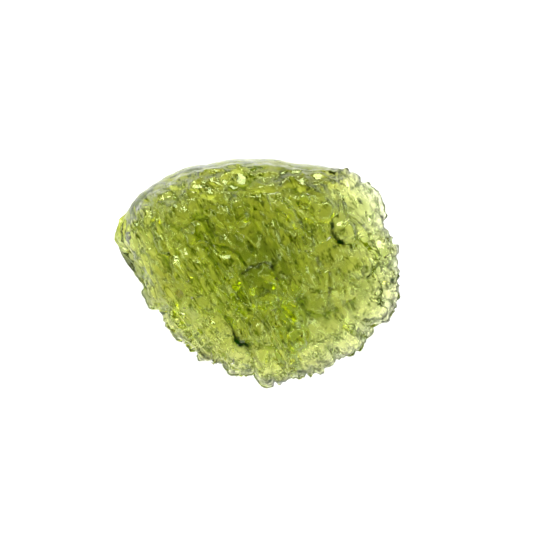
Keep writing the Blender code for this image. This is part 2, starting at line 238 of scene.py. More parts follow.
# Dark marks painted along cracks and along the edge: the points that each follows, its half width and
# how dark it is
DARK_MARKS = [
    ([(-2.4, -5.7), (-1.9, -6.5), (-1.5, -6.8), (-0.9, -7.2)], 0.30, 1.1),
    ([(-1.95, -6.5), (-1.6, -6.85)], 0.5, 2.6),
    ([(0.2, -4.2), (0.9, -5.4)], 0.75, 0.4),
    ([(-2.9, -4.9), (-2.3, -6.0)], 0.3, 0.6),
    ([(-1.1, -7.2), (-0.3, -8.1), (0.5, -9.3)], 0.3, 0.6),
    ([(7.4, 4.9), (7.3, 4.2), (7.6, 3.6), (8.0, 3.2), (8.5, 2.9)], 0.27, 1.6),
    ([(8.1, 3.1), (8.5, 2.95)], 0.32, 1.6),
    ([(-1.4, 0.0), (-0.5, 0.7), (0.1, 0.6)], 0.24, 1.1),
    ([(0.2, 0.9), (0.7, 1.1), (1.3, 0.9), (1.6, 0.4)], 0.24, 1.0),
    ([(7.1, 0.1), (7.1, -2.3)], 0.22, 0.9),
    ([(-1.5, -6.1), (-0.4, -5.3)], 0.8, 0.32),
    ([(-7.3, 4.2), (-6.0, 5.0), (-4.5, 5.4)], 0.22, 0.5),
    ([(-8.1, 7.9), (-7.5, 7.0)], 0.22, 0.6),
    ([(-3.9, 2.6), (-2.5, 2.3), (-1.7, 1.6)], 0.22, 0.5),
    ([(-5.4, 2.7), (-4.6, 1.6)], 0.22, 0.4),
    ([(4.2, -3.2), (5.5, -4.5)], 0.22, 0.4),
    ([(6.0, 5.6), (6.4, 4.7)], 0.22, 0.5),
    ([(4.5, 3.5), (4.7, 2.9)], 0.26, 0.8),
    ([(5.9, 1.6), (6.0, 0.8)], 0.24, 0.8),
    ([(4.9, 8.3), (5.4, 7.7)], 0.24, 0.5),
    ([(12.5, 5.7), (12.8, 4.7)], 0.25, 0.9),
    ([(13.4, -0.6), (13.6, -0.9)], 0.3, 0.8),
    ([(12.7, -1.1), (12.9, -1.4)], 0.25, 0.7),
    ([(-13.5, 1.9), (-12.4, 0.2)], 0.3, 0.8),
    ([(-9.4, -3.6), (-8.9, -5.6), (-7.3, -6.4)], 0.3, 0.5),
    ([(-5.8, -7.6), (-4.6, -8.7), (-3.2, -9.0)], 0.35, 0.6),
    ([(0.9, -10.9), (2.2, -10.9), (3.0, -10.5)], 0.45, 0.7),
    ([(4.3, -9.8), (4.8, -9.9)], 0.35, 0.9),
    ([(5.8, -8.8), (7.3, -8.9)], 0.2, 0.6),
    ([(2.7, -5.0), (3.2, -5.6)], 0.3, 0.5),
]

# Where the fine forms fade along the smooth shoulder: compass angle and how smooth it is.
# The smooth band's painted shade starts between these shares of the way to the rim
FINE_SMOOTH_BAND = [(45, 0.0), (65, 1.0), (155, 1.0), (175, 0.6), (205, 0.4), (225, 0.0), (300, 0.0)]
BAND_SHADE_EDGE = (0.85, 0.94)

# Dark patches painted round the ragged part of the rim: how dark they are, their size, how sharply and
# how often they stand out of the noise, and where they start along the way out
RIM_MARKS = 0.75
RIM_MARK_SIZE = 0.55
RIM_MARK_CONTRAST, RIM_MARK_LEVEL = 2.2, 0.1
RIM_MARK_EDGE = (0.84, 0.97)

# How ragged the dark marks and the grey-brown matter are, and the size of their raggedness
MARK_RAGGED, MARK_RAGGED_SIZE = 0.6, 0.45

# A small patch of grey-brown matter: its middle, radius and strength
FLECK = (-7.6, -2.0)
FLECK_RADIUS = 0.5
FLECK_STRENGTH = 2.2

# Ovals of painted shade, a deeper green where the stone is to look darker: middle, half length along X
# and along Y, and how deep it is
SHADE_OVALS = [
    ((5.2, 9.9), (6.0, 2.6), 1.3),
    ((-5.4, 9.8), (5.5, 2.6), 0.9),
    ((-9.3, -0.8), (1.6, 3.6), 0.7),
    ((8.0, -3.4), (1.5, 1.6), 0.5),
    ((5.5, -9.2), (3.4, 1.3), 0.5),
    ((-3.9, -7.9), (1.5, 1.4), 0.5),
]

# Small deep pits: middle, radius and depth
PITS = [
    ((-1.8, -6.8), 0.55, 1.1),
    ((4.6, 3.3), 0.3, 0.5),
    ((5.9, 1.5), 0.28, 0.5),
    ((2.9, -5.3), 0.4, 0.45),
    ((-7.6, -2.0), 0.4, 0.3),
]

# Small level faces that catch the light from the shoulder's side: the points that each
# follows and its half width
FACETS = [
    ([(-5.8, 8.5), (-5.4, 8.4)], 0.55),
    ([(-6.4, 8.95), (-5.2, 8.95)], 0.18),
    ([(-4.5, 7.75), (-4.3, 7.65)], 0.42),
    ([(-4.1, 9.2), (-3.2, 8.8)], 0.26),
    ([(-3.1, 9.1), (-2.6, 8.8)], 0.30),
    ([(-2.4, 8.6), (-2.0, 8.4)], 0.26),
    ([(-1.9, 9.8), (-0.6, 9.7)], 0.34),
    ([(-1.3, 9.4), (-1.2, 9.1)], 0.55),
    ([(-0.3, 8.6), (0.6, 8.9)], 0.2),
    ([(0.4, 8.2), (1.2, 8.6)], 0.18),
    ([(6.2, 9.7), (6.7, 9.7)], 0.36),
    ([(4.0, 10.1), (4.4, 10.0)], 0.26),
    ([(9.3, 9.2), (9.8, 8.3)], 0.24),
    ([(10.0, 7.8), (10.5, 7.0)], 0.24),
    ([(11.0, 8.2), (11.5, 7.3)], 0.2),
    ([(8.7, 8.0), (9.0, 7.4)], 0.18),
    ([(11.6, 5.6), (11.8, 4.9)], 0.24),
    ([(12.6, 3.2), (12.9, 2.4)], 0.28),
    ([(11.8, 1.2), (12.1, 0.6)], 0.26),
    ([(13.1, 0.3), (13.2, -0.4)], 0.26),
    ([(12.3, -2.2), (12.6, -2.8)], 0.3),
    ([(11.0, -3.7), (11.3, -4.2)], 0.3),
    ([(6.0, -7.5), (6.7, -8.1)], 0.32),
    ([(-1.6, -8.8), (-0.9, -9.3)], 0.34),
    ([(0.9, -10.2), (1.7, -10.4)], 0.26),
    ([(-5.2, -7.0), (-4.6, -7.6)], 0.26),
    ([(-8.6, -4.4), (-8.2, -4.9)], 0.24),
    ([(-13.7, 5.1), (-13.6, 5.0)], 0.26),
    ([(-13.3, 4.7), (-13.2, 4.6)], 0.26),
    ([(-12.8, 4.3), (-12.7, 4.2)], 0.24),
    ([(-12.4, 3.8), (-12.35, 3.7)], 0.24),
    ([(-12.1, 3.2), (-12.05, 3.1)], 0.24),
    ([(-11.8, 2.4), (-11.75, 2.3)], 0.22),
    ([(-13.5, 2.6), (-13.2, 2.0)], 0.32),
    ([(4.5, -6.5), (4.9, -6.9)], 0.34),
    ([(-2.6, -3.2), (-2.5, -3.4)], 0.14),
    ([(-2.2, -3.8), (-2.1, -4.0)], 0.14),
    ([(-1.8, -4.5), (-1.7, -4.7)], 0.14),
]

# How steeply they fall towards +Y, how far they may cut into the stone and stand out of it,
# where their edges lie in half widths, and how ragged the edges are
FACET_FALL = 0.6
FACET_CUT, FACET_RISE = 0.9, 0.25
FACET_EDGE = (0.95, 1.30)
FACET_RAGGED, FACET_RAGGED_SIZE = 1.0, 0.55

# Small mounds: middle, radius and height
MOUNDS = [
    ((0.7, 0.6), 0.95, 0.5),
    ((4.3, -6.9), 1.0, 0.35),
    ((6.9, 6.0), 0.95, 0.65),
    ((4.9, 7.0), 0.7, 0.45),
    ((-5.5, 8.5), 0.7, 0.5),
    ((-4.4, 7.7), 0.5, 0.45),
    ((9.0, 3.9), 1.2, 0.5),
]

# How rounded the forms are, as the power of their fall from the middle: ovals, cracks and pits,
# and then small mounds
HOLLOW_ROUNDNESS = 1.5
MOUND_ROUNDNESS = 0.8

# Cups all over the stone, in two sizes: length along the flow, width, depth, and place in the
# noise. Then how far a cup spreads, in its own size, and how much it fades near the rim
CUPS = [(2.4, 1.2, 0.50, 1.7), (1.2, 0.6, 0.20, 4.1)]
CUP_SPREAD = 0.75
CUP_FADING = 0.75

# Narrow streaks along the flow, off the shoulder. Between these places along X they weaken to
# the least share
STREAK_LENGTH, STREAK_WIDTH, STREAK_DEPTH, STREAK_SEED = 4.5, 0.6, 0.26, 9.0
STREAK_SIDE = (-4.0, 5.0)
STREAK_LEAST = 0.3

# Narrow shelves along the shoulder, which starts between these places along Y
SHELF_LENGTH, SHELF_SPACING, SHELF_DEPTH, SHELF_SEED = 3.2, 0.8, 0.16, 5.2
SHELF_ZONE = (5.0, 7.5)

# Frills and rings round the ragged part of the rim, with the shares of the way to the rim
# between which they start. The frills change this often from the middle to the rim, and over
# this height
FRILL_WIDTH, FRILL_DEPTH = 0.6, 0.26
FRILL_ZONE = (0.75, 0.97)
FRILL_CHANGES, FRILL_HEIGHT = 6, 2
RING_LENGTH, RING_SPACING, RING_DEPTH = 4.0, 0.5, 0.12
RING_ZONE = (0.8, 0.92)

# A fine grain all over
GRAIN_SIZE, GRAIN_DEPTH = 0.45, 0.02

# Where the fine forms are muted: on the smooth band, on the underside and on the flat spot.
# Their hollows take at most this share of what the main forms' hollows may take
FINE_BAND_ON_TOP = (0.90, 0.96)
FINE_BAND_MUTING = 0.75
UNDER_SHARE = 0.4
FINE_SPOT_CALM = (0.9, 1.3)
FINE_HOLLOW_SHARE = 0.8

# The glass: the colour that it lets through, its density per metre, its index of refraction,
# the tint of its reflections, and how rough it is from patch to patch. Then the patches' size
# and the noise values that they start and end at
GLASS_COLOUR = (0.752, 0.793, 0.0, 1)
GLASS_DENSITY = 375.0
GLASS_IOR = 1.49
GLASS_REFLECTION = (0.50, 0.60, 0.28, 1)
ROUGHNESS = (0.01, 0.06)
ROUGH_PATCH_SIZE = 1.6
ROUGH_PATCH_RANGE = (0.35, 0.65)

# Painted shade in the hollows and painted light on the heights, given as the surface's tint; the values
# of the relief where each is reached, and how the relief is turned into such values
HOLLOW_SHADE_TINT, HEIGHT_LIGHT_TINT = (0.29, 0.39, 0.10, 1), (1.0, 1.0, 0.90, 1)
TINT_RANGE = (0.15, 0.63)
TINT_CONTRAST = 0.25
TINT_COARSE_SHARE = 0.6

# The tints of the flow lines (painted shade in their scores), the ovals of painted shade, the smooth
# band (painted shade), the grey-brown fleck and the dark marks
LINE_SHADE_TINT = (0.04, 0.08, 0.0, 1)
SHADE_OVAL_TINT = (0.40, 0.38, 0.16, 1)
BAND_SHADE_TINT = (0.36, 0.38, 0.01, 1)
FLECK_TINT = (0.30, 0.22, 0.22, 1)
DARK_MARK_TINT = (0.0, 0.001, 0.0, 1)

# Fine lines along the flow on the upper side, in two sizes: length, width and height of the
# noise's cells, its shift (m), and how wide the lines are in the noise's own values. They are
# left out in patches of this size, between these values of another noise
FLOW_LINES = [((2.8, 0.7, 0.8), 0.0, 0.07), ((1.3, 0.42, 0.6), 0.011, 0.08)]
LINE_WINDING = 0.6
LINE_GAP_SIZE = 1.1
LINE_GAP_RANGE = (0.44, 0.58)
NOISE_ROUGHNESS = 0.6

# The sockets of a mix node for colours: the one below, the one on top and the result
MIX_BELOW, MIX_ON_TOP, MIX_RESULT = 6, 7, 2

# The finest relief, made by the material: its depth and strength, how strongly the flow lines
# are scored, and the size and share of a fine grain
BUMP_DEPTH = 0.06
BUMP_STRENGTH = 0.15
SCORE_SHARE = 1.5
BUMP_GRAIN_SIZE, BUMP_GRAIN_SHARE = 0.25, 0.6

# The floor: how far it reaches and its level (m), its colour, and how much it glows
FLOOR_REACH, FLOOR_LEVEL = 0.6, -0.00005
FLOOR_COLOUR = (0.85, 0.85, 0.85, 1)
FLOOR_ROUGHNESS = 0.7
FLOOR_GLOW = 0.36

# Soft panels in a ring: compass angle from +X, elevation, width and height (m), and brightness.
# Then their distance (m), how bright they all are, and how bright the space around them is
PANELS = [
    (90, 28, 0.17, 0.11, 15.0),
    (45, 25, 0.14, 0.12, 6.0),
    (135, 25, 0.14, 0.12, 5.4),
    (0, 22, 0.18, 0.12, 5.4),
    (180, 22, 0.18, 0.12, 4.2),
    (225, 22, 0.14, 0.12, 3.6),
    (315, 22, 0.14, 0.12, 4.5),
    (270, 22, 0.20, 0.12, 3.9),
]
PANEL_DISTANCE = 0.32
PANEL_LIGHT = 1.85
WORLD_LIGHT = 0.1

# The camera looks straight down: its lens and sensor, the place that it stands over, how wide
# the view is at this height over the floor, and how near and far it sees (m)
CAMERA_LENS, CAMERA_SENSOR = 120, 36
CAMERA_OVER = (0.93, 0.68)
VIEW_WIDTH, VIEW_HEIGHT = 53.3, 3.0
CAMERA_RANGE = (0.01, 5)


def smooth_step(low, high, value):
    """0 below low, 1 above high, and a smooth rise between them."""
    t = np.clip((value - low) / (high - low), 0, 1)
    return t * t * (3 - 2 * t)


def around(keys, angles):
    """Values given at compass angles in degrees, joined smoothly right round the stone."""
    at = np.radians([k[0] for k in keys])
    values = np.array([k[1] for k in keys], float)
    at = np.concatenate([at[-1:] - 2 * math.pi, at, at[:1] + 2 * math.pi])
    values = np.concatenate([values[-1:], values, values[:1]])
    turned = np.mod(angles, 2 * math.pi)
    i = np.clip(np.searchsorted(at, turned, side="right") - 1, 0, len(at) - 2)
    t = (turned - at[i]) / (at[i + 1] - at[i])
    t = t * t * (3 - 2 * t)
    return values[i] * (1 - t) + values[i + 1] * t


def outline_radii():
    """Distance from the middle to the outline, and to a softened outline, as functions."""
    points = np.array(OUTLINE)
    angles = np.mod(np.arctan2(points[:, 1], points[:, 0]), 2 * math.pi)
    radii = np.hypot(points[:, 0], points[:, 1])
    order = np.argsort(angles)
    angles, radii = angles[order], radii[order]
    fine = np.linspace(0, 2 * math.pi, OUTLINE_STEPS, endpoint=False)
    sharp = np.interp(fine, angles, radii, period=2 * math.pi)
    offsets = np.arange(len(fine)) * (fine[1] - fine[0])
    away = np.minimum(offsets, 2 * math.pi - offsets)

    def softened(width):
        weights = np.exp(-((away / width) ** 2))
        spectrum = np.fft.rfft(sharp) * np.fft.rfft(weights / weights.sum())
        return np.fft.irfft(spectrum, len(fine))

    edge, inner = softened(EDGE_SOFTENING), softened(OUTLINE_SOFTENING)

    def radius_of(table):
        return lambda angle: np.interp(angle, fine, table, period=2 * math.pi)

    return radius_of(edge), radius_of(inner)


def divided_sphere(divisions):
    """Points and squares of a sphere made from a divided cube, its equator on a row of points."""
    steps = np.tan(np.linspace(-math.pi / 4, math.pi / 4, divisions + 1))
    found, points, squares = {}, [], []

    def corner(x, y, z):
        key = (round(x, 9), round(y, 9), round(z, 9))
        if key not in found:
            found[key] = len(points)
            points.append(key)
        return found[key]

    for axis in range(3):
        for side in (-1.0, 1.0):
            def place(i, j):
                spot = [0.0, 0.0, 0.0]
                spot[axis] = side
                spot[(axis + 1) % 3] = steps[i]
                spot[(axis + 2) % 3] = steps[j]
                return corner(*spot)

            for i in range(divisions):
                for j in range(divisions):
                    square = [place(i, j), place(i + 1, j), place(i + 1, j + 1), place(i, j + 1)]
                    squares.append(square if side > 0 else square[::-1])
    points = np.array(points)
    return points / np.linalg.norm(points, axis=1, keepdims=True), np.array(squares)


def oval(x, y, centre, half_length, half_width, angle, rise):
    """The height of one smooth oval mound, or of a hollow where rise is below zero."""
    turn = math.radians(angle)
    along = (x - centre[0]) * math.cos(turn) + (y - centre[1]) * math.sin(turn)
    across = (y - centre[1]) * math.cos(turn) - (x - centre[0]) * math.sin(turn)
    away = (along / half_length) ** 2 + (across / half_width) ** 2
    return rise * np.clip(1 - away, 0, 1) ** HOLLOW_ROUNDNESS


def curve(share, full, reach, steepness):
    """A surface's height on its way to the rim: 1 in the middle and 0 at the rim."""
    level = np.clip(1 - share ** (reach[0] + reach[1] * full), 0, 1)
    return level ** (steepness[0] + steepness[1] * full)


def beyond_face(x, y):
    """Distance from the line where the broken face starts, above zero towards the middle."""
    dx, dy = FACE_TO[0] - FACE_FROM[0], FACE_TO[1] - FACE_FROM[1]
    return ((y - FACE_FROM[1]) * dx - (x - FACE_FROM[0]) * dy) / math.hypot(dx, dy)


def pillow(sphere):
    """The stone's smooth body.

    It gives each point's place, share of the way to the rim, compass angle, the glass's
    thickness there, and distance from the flat spot's middle in radii of the spot.
    """
    edge, inner = outline_radii()
    angle = np.arctan2(sphere[:, 1], sphere[:, 0])
    level = np.hypot(sphere[:, 0], sphere[:, 1])
    share = level * (1 - RIM_SPREAD + RIM_SPREAD * level**2)
    reach = smooth_step(NOTCH_REACH, 1.0, share)
    radius = inner(angle) * (1 - reach) + edge(angle) * reach
    x, y = share * radius * np.cos(angle), share * radius * np.sin(angle)
    full = around(FULLNESS, angle)
    ring = np.column_stack([np.cos(angle), np.sin(angle), angle * 0]) * LENGTH / 2
    rim = around(RIM_HEIGHTS, angle) + RIM_WAVE_HEIGHT * noise_at(ring / RIM_WAVE_LENGTH)
    rise = THICK_SPOT_RISE * np.exp(
        -((x - THICK_SPOT[0]) ** 2 + (y - THICK_SPOT[1]) ** 2) / THICK_SPOT_RADIUS**2
    )
    crown = HEIGHT - THICK_SPOT_RISE + rise + LEAN_X * x + LEAN_Y * y
    broken = 1 - smooth_step(*FACE_EDGE, beyond_face(x, y))
    above = curve(share, full, TOP_REACH, TOP_STEEPNESS) * (1 - (1 - FACE_HEIGHT_LEFT) * broken)
    upper = rim + (crown - rim) * above
    lower = rim - (rim - UNDERSIDE_LOW) * curve(share, full, UNDER_REACH, UNDER_STEEPNESS)
    for form in UNDER_FORMS:
        lower += oval(x, y, *form)
    spot = np.hypot(x - FLAT_SPOT[0], y - FLAT_SPOT[1]) / FLAT_SPOT_RADIUS
    lower -= FLAT_SPOT_DROP * (1 - smooth_step(*FLAT_SPOT_EDGE, spot))
    z = np.where(sphere[:, 2] >= 0, upper, lower)
    return np.column_stack([x, y, z]), share, angle, upper - lower, spot


def normals_of(points, squares):
    """Each point's outward direction, from the squares around it."""
    across = points[squares[:, 2]] - points[squares[:, 0]]
    along = points[squares[:, 3]] - points[squares[:, 1]]
    faces = np.cross(across, along)
    normals = np.zeros_like(points)
    for k in range(4):
        np.add.at(normals, squares[:, k], faces)
    return normals / np.maximum(np.linalg.norm(normals, axis=1, keepdims=True), LEAST_LENGTH)


def noise_at(places):
    """Smooth noise at each place, from about -1 to 1."""
    return np.array([noise.noise(p) for p in places.tolist()])


def ridged(places):
    """Rounded troughs between narrow ridges, from about -1 to 1."""
    height = np.sqrt((noise_at(places) * CREASE_STRENGTH) ** 2 + CREASE_SOFTNESS**2) - CREASE_SOFTNESS
    return 1 - 2 * np.minimum(height, 1)


def stretched(points, angle, length, width, offset=0.0):
    """Places for a noise whose shapes are long in one direction over the ground."""
    along = points[:, 0] * math.cos(angle) + points[:, 1] * math.sin(angle)
    across = -points[:, 0] * math.sin(angle) + points[:, 1] * math.cos(angle)
    return np.column_stack([along / length, across / width, points[:, 2] / length + offset])


def distance_to_path(x, y, path):
    """Distance from each place to a line through the path's points."""
    nearest = np.full(len(x), np.inf)
    for (ax, ay), (bx, by) in zip(path, path[1:]):
        dx, dy = bx - ax, by - ay
        t = np.clip(((x - ax) * dx + (y - ay) * dy) / (dx * dx + dy * dy), 0, 1)
        nearest = np.minimum(nearest, np.hypot(x - ax - t * dx, y - ay - t * dy))
    return nearest


def named_forms(x, y):
    """The clefts, knobs and cups of the upper side."""
    height = np.zeros(len(x))
    for path, half_width, depth in CLEFTS:
        away = distance_to_path(x, y, path) / half_width
        height -= depth * np.clip(1 - away**2, 0, 1) ** 2
    for knob in KNOBS:
        height += oval(x, y, *knob)
    return height


def relief(points, share, angle, spot, top):
    """How far each point is raised along its normal."""
    x, y = points[:, 0], points[:, 1]
    near_rim = smooth_step(*RIM_ZONE, share)
    calm = 1 - CALM_SIDE_MUTING * smooth_step(*CALM_SIDE, x)
    smooth = around(SMOOTH_BAND, angle)
    shoulder = smooth_step(*SHOULDER, y - SHOULDER_BOW * np.abs(x))
    grooves = ridged(stretched(points, FLOW_ANGLE, GROOVE_LENGTH, GROOVE_WIDTH))
    lumps = np.abs(noise_at(points / LUMP_SIZE + LUMP_SEED)) * LUMP_GAIN - LUMP_LEVEL
    ledges = ridged(stretched(points, LEDGE_ANGLE, LEDGE_LENGTH, LEDGE_SPACING, LEDGE_SEED))
    ring = np.column_stack([np.cos(angle), np.sin(angle)]) * LENGTH / 2 / CRENEL_WIDTH
    crenels = ridged(np.column_stack([ring, share * CRENEL_CHANGES + points[:, 2] / CRENEL_HEIGHT]))
    height = GROOVE_DEPTH * grooves * calm * (1 - shoulder)
    height += LUMP_HEIGHT * lumps * (1 - LUMP_MUTING * near_rim)
    height += LEDGE_HEIGHT * ledges * shoulder * (1 - LEDGE_MUTING * near_rim)
    height += CRENEL_DEPTH * crenels * near_rim * (1 - smooth)
    height[top] += named_forms(x[top], y[top]) * (1 - near_rim[top])
    band = np.where(top, smooth_step(*BAND_ON_TOP, share), smooth_step(*BAND_UNDER, share))
    height *= 1 - BAND_MUTING * smooth * band
    height[~top] *= smooth_step(*FLAT_SPOT_CALM, spot[~top])
    return height


def kept_inside(height, thickness):
    """The relief with its hollows held to a share of the thickness, so no faces cross."""
    room = np.maximum(HOLLOW_SHARE * thickness, LEAST_ROOM)
    return np.where(height < 0, -room * np.tanh(-height / room), height)


def cups(places):
    """Rounded hollows with sharp edges where they meet: 0 in a hollow, up to 1 at an edge."""
    nearest = np.array([noise.voronoi(p)[0][0] for p in places.tolist()])
    return np.minimum(nearest / CUP_SPREAD, 1) ** 2


def small_forms(x, y):
    """The narrow cracks, small pits and small mounds of the upper side."""
    height = np.zeros(len(x))
    for path, half_width, depth in CRACKS:
        away = distance_to_path(x, y, path) / half_width
        height -= depth * np.clip(1 - away**2, 0, 1) ** HOLLOW_ROUNDNESS
    for (cx, cy), radius, depth in PITS:
        away = np.hypot(x - cx, y - cy) / radius
        height -= depth * np.clip(1 - away**2, 0, 1) ** HOLLOW_ROUNDNESS
    for (cx, cy), radius, rise in MOUNDS:
        away = np.hypot(x - cx, y - cy) / radius
        height += rise * np.clip(1 - away**2, 0, 1) ** MOUND_ROUNDNESS
    return height


def shoulder_forms(points):
    """Narrow shelves on the shoulder, and narrow streaks along the flow beside it."""
    x, y = points[:, 0], points[:, 1]
    shoulder = smooth_step(*SHELF_ZONE, y - SHOULDER_BOW * np.abs(x))
    left = 1 - smooth_step(*STREAK_SIDE, x)
    streaks = ridged(stretched(points, FLOW_ANGLE, STREAK_LENGTH, STREAK_WIDTH, STREAK_SEED))
    shelves = ridged(stretched(points, LEDGE_ANGLE, SHELF_LENGTH, SHELF_SPACING, SHELF_SEED))
    height = STREAK_DEPTH * streaks * (STREAK_LEAST + (1 - STREAK_LEAST) * left) * (1 - shoulder)
    return height + SHELF_DEPTH * shelves * shoulder


def rim_forms(points, share, angle):
    """Frills and rings on the ragged part of the rim."""
    ring = np.column_stack([np.cos(angle), np.sin(angle)]) * LENGTH / 2
    change = share * FRILL_CHANGES + points[:, 2] / FRILL_HEIGHT
    frills = ridged(np.column_stack([ring / FRILL_WIDTH, change]))
    rings = ridged(np.column_stack([ring / RING_LENGTH, share * LENGTH / 2 / RING_SPACING]))
    height = FRILL_DEPTH * frills * smooth_step(*FRILL_ZONE, share)
    height += RING_DEPTH * rings * smooth_step(*RING_ZONE, share)
    return height * (1 - around(FINE_SMOOTH_BAND, angle))


def fine_relief(points, share, angle, spot, top):
    """How far each point of the finer forms is raised along its normal."""
    inner = 1 - CUP_FADING * smooth_step(*FRILL_ZONE, share)
    height = np.zeros(len(points))
    for length, width, depth, seed in CUPS:
        height += inner * depth * cups(stretched(points, FLOW_ANGLE, length, width, seed))
    height += shoulder_forms(points)
    height += rim_forms(points, share, angle)
    height += GRAIN_DEPTH * noise_at(points / GRAIN_SIZE)
    height[top] += small_forms(points[top, 0], points[top, 1])
    band = np.where(top, smooth_step(*FINE_BAND_ON_TOP, share), smooth_step(*BAND_UNDER, share))
    height *= 1 - FINE_BAND_MUTING * around(FINE_SMOOTH_BAND, angle) * band
    height[~top] *= UNDER_SHARE * smooth_step(*FINE_SPOT_CALM, spot[~top])
    return height


def with_facets(points, top):
    """The points with the small level faces cut into the upper side, and where the faces are."""
    points = points.copy()
    x, y = points[:, 0], points[:, 1]
    calm = np.zeros(len(points))
    ragged = 1 + FACET_RAGGED * noise_at(points / FACET_RAGGED_SIZE)
    for path, half_width in FACETS:
        middle = np.mean(path, axis=0)
        away = ragged * distance_to_path(x, y, path) / half_width
        nearest = np.argmin(np.hypot(x - middle[0], y - middle[1]) + np.where(top, 0, np.inf))
        level = points[nearest, 2] - FACET_FALL * (y - middle[1])
        share = np.where(top, 1 - smooth_step(*FACET_EDGE, away), 0)
        points[:, 2] += share * np.clip(level - points[:, 2], -FACET_CUT, FACET_RISE)
        calm = np.maximum(calm, share)
    return points, calm


def fitted(points):
    """The points moved and sized so that the stone fills its CAD solid's box."""
    points = points.copy()
    points[:, 2] = np.maximum(points[:, 2], 0)
    low, high = points.min(axis=0), points.max(axis=0)
    return BOX_LOW + (points - low) * (BOX_HIGH - BOX_LOW) / (high - low)


def dark_marks(x, y):
    """How dark the marks along the cracks and the edge are at each place, from 0 up."""
    dark = np.zeros(len(x))
    for path, half_width, strength in DARK_MARKS:
        away = distance_to_path(x, y, path) / half_width
        dark = np.maximum(dark, strength * np.clip(1 - away**2, 0, 1))
    return dark


def rim_marks(points, share, angle):
    """Patchy dark marks round the ragged part of the rim."""
    patches = noise_at(points / RIM_MARK_SIZE) * RIM_MARK_CONTRAST + RIM_MARK_LEVEL
    ragged_side = 1 - around(FINE_SMOOTH_BAND, angle)
    return RIM_MARKS * np.clip(patches, 0, 1) * smooth_step(*RIM_MARK_EDGE, share) * ragged_side


def shade_ovals(x, y):
    """How strong the ovals' painted shade, a deeper green, is at each place, from 0 to 1."""
    mask = np.zeros(len(x))
    for (cx, cy), (half_x, half_y), strength in SHADE_OVALS:
        away = ((x - cx) / half_x) ** 2 + ((y - cy) / half_y) ** 2
        mask = np.maximum(mask, strength * np.clip(1 - away, 0, 1))
    return np.minimum(mask, 1)


def fleck(x, y):
    """How strong the small grey-brown patch is at each place."""
    away = np.hypot(x - FLECK[0], y - FLECK[1]) / FLECK_RADIUS
    return FLECK_STRENGTH * (1 - away**2)


def band_shade_mask(share, angle):
    """1 on the smooth band along the rim, which gets painted shade, and 0 elsewhere."""
    return around(FINE_SMOOTH_BAND, angle) * smooth_step(*BAND_SHADE_EDGE, share)


def relief_shade_values(fine, coarse):
    """The relief as values from 0 in deep hollows to 1 on the heights, for the painted shade and light
    that follow it.
    """
    level = fine + TINT_COARSE_SHARE * coarse
    level = (level - np.median(level)) / level.std()
    return 0.5 + TINT_CONTRAST * level


def hold(mesh, name, values):
    """Keeps a value from 0 to 1 at each point of the mesh, for its material."""
    kept = mesh.attributes.new(name, "FLOAT", "POINT")
    kept.data.foreach_set("value", np.clip(values, 0, 1))


def stone_mesh():
    """The whole stone's mesh, with the values that its material reads."""
    sphere, squares = divided_sphere(DIVISIONS)
    points, share, angle, thickness, spot = pillow(sphere)
    top = sphere[:, 2] >= 0
    coarse = kept_inside(relief(points, share, angle, spot, top), thickness)
    points = points + normals_of(points, squares) * coarse[:, None]
    fine = kept_inside(fine_relief(points, share, angle, spot, top), FINE_HOLLOW_SHARE * thickness)
    points, calm = with_facets(points + normals_of(points, squares) * fine[:, None], top)
    points = fitted(points)
    mesh = bpy.data.meshes.new("moldavite_glass")
    mesh.from_pydata((points * MM).tolist(), [], squares.tolist())
    mesh.shade_smooth()
    x, y = points[:, 0], points[:, 1]
    ragged = 1 + MARK_RAGGED * noise_at(points / MARK_RAGGED_SIZE)
    # Where the painted shade and light fall, from the relief
    hold(mesh, "relief", relief_shade_values(fine, coarse))
    hold(mesh, "dark_marks", np.where(top, dark_marks(x, y) * ragged, 0) + rim_marks(points, share, angle))
    hold(mesh, "upper", top.astype(float))
    hold(mesh, "calm", calm)
    # Where the smooth band's painted shade lies
    hold(mesh, "band_shade", np.where(top, band_shade_mask(share, angle), 0))
    # Where the ovals' painted shade lies
    hold(mesh, "shade_ovals", np.where(top, shade_ovals(x, y), 0))
    hold(mesh, "fleck", np.where(top, fleck(x, y) * ragged, 0))
    return mesh


